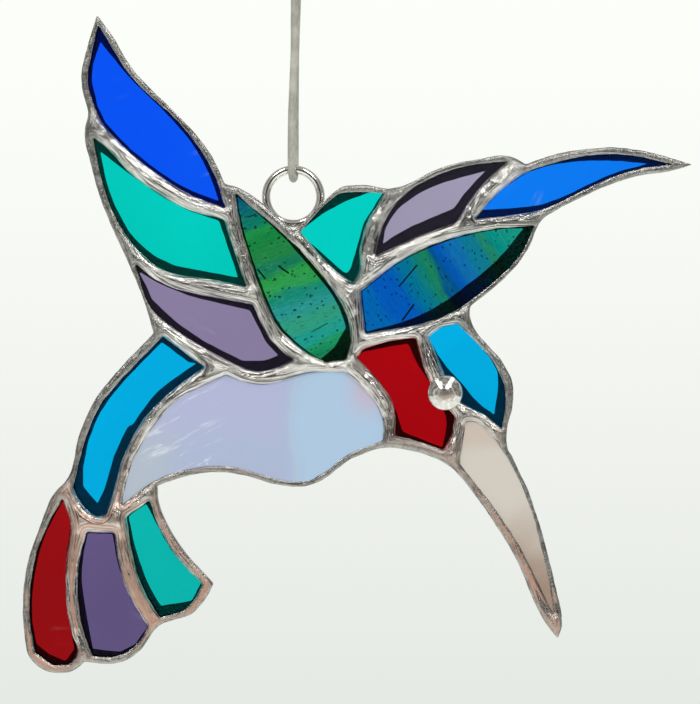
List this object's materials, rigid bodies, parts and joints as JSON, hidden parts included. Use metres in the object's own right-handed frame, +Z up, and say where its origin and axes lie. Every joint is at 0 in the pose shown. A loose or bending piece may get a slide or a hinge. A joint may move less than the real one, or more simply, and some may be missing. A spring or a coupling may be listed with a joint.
{
  "type": "stained glass suncatcher",
  "caption": "Stained glass suncatcher shaped as a flying hummingbird, coloured panes in solder seams, hung by a ring and a knotted cord loop.",
  "frame": {"origin": "the point inside the top of the cord's loop where it rests on its hook", "axes": "+Z up, +X to the bird's beak and far wing tip, -Y towards the front of the glass"},
  "size_m": [0.1673, 0.0135, 0.1871],
  "materials": {
    "cobalt-glass": "gloss",
    "teal-glass": "gloss",
    "lavender-glass": "gloss",
    "streaky-green-glass": "gloss",
    "mauve-glass": "gloss",
    "azure-glass": "gloss",
    "streaky-blue-glass": "gloss",
    "ruby-glass": "gloss",
    "sky-glass": "gloss",
    "pink-opal-glass": "gloss",
    "opal-glass": "gloss",
    "dark-red-glass": "gloss",
    "purple-glass": "gloss",
    "deep-teal-glass": "gloss",
    "solder": "bright, hand-run solder",
    "bright-solder": "polished",
    "tinned-wire": "tinned, satin",
    "cord": "waxed, slightly translucent"
  },
  "bodies": {
    "root": {"glass-near-wing-tip-cobalt": "cobalt-glass", "glass-near-wing-teal": "teal-glass", "glass-near-wing-lavender": "lavender-glass", "glass-back-green": "streaky-green-glass", "glass-shoulder-teal": "teal-glass", "glass-far-wing-mauve": "mauve-glass", "glass-far-wing-tip-azure": "azure-glass", "glass-nape-streaked": "streaky-blue-glass", "glass-throat-red": "ruby-glass", "glass-head-sky": "sky-glass", "glass-beak-pink": "pink-opal-glass", "glass-rump-sky": "sky-glass", "glass-belly-opal": "opal-glass", "glass-tail-red": "dark-red-glass", "glass-tail-purple": "purple-glass", "glass-tail-teal": "deep-teal-glass", "solder-lattice": "solder", "eye-bead": "bright-solder", "hanging-ring": "tinned-wire", "cord-strands": "cord", "cord-knot": "cord", "cord-loop": "cord"}
  },
  "joints": []
}
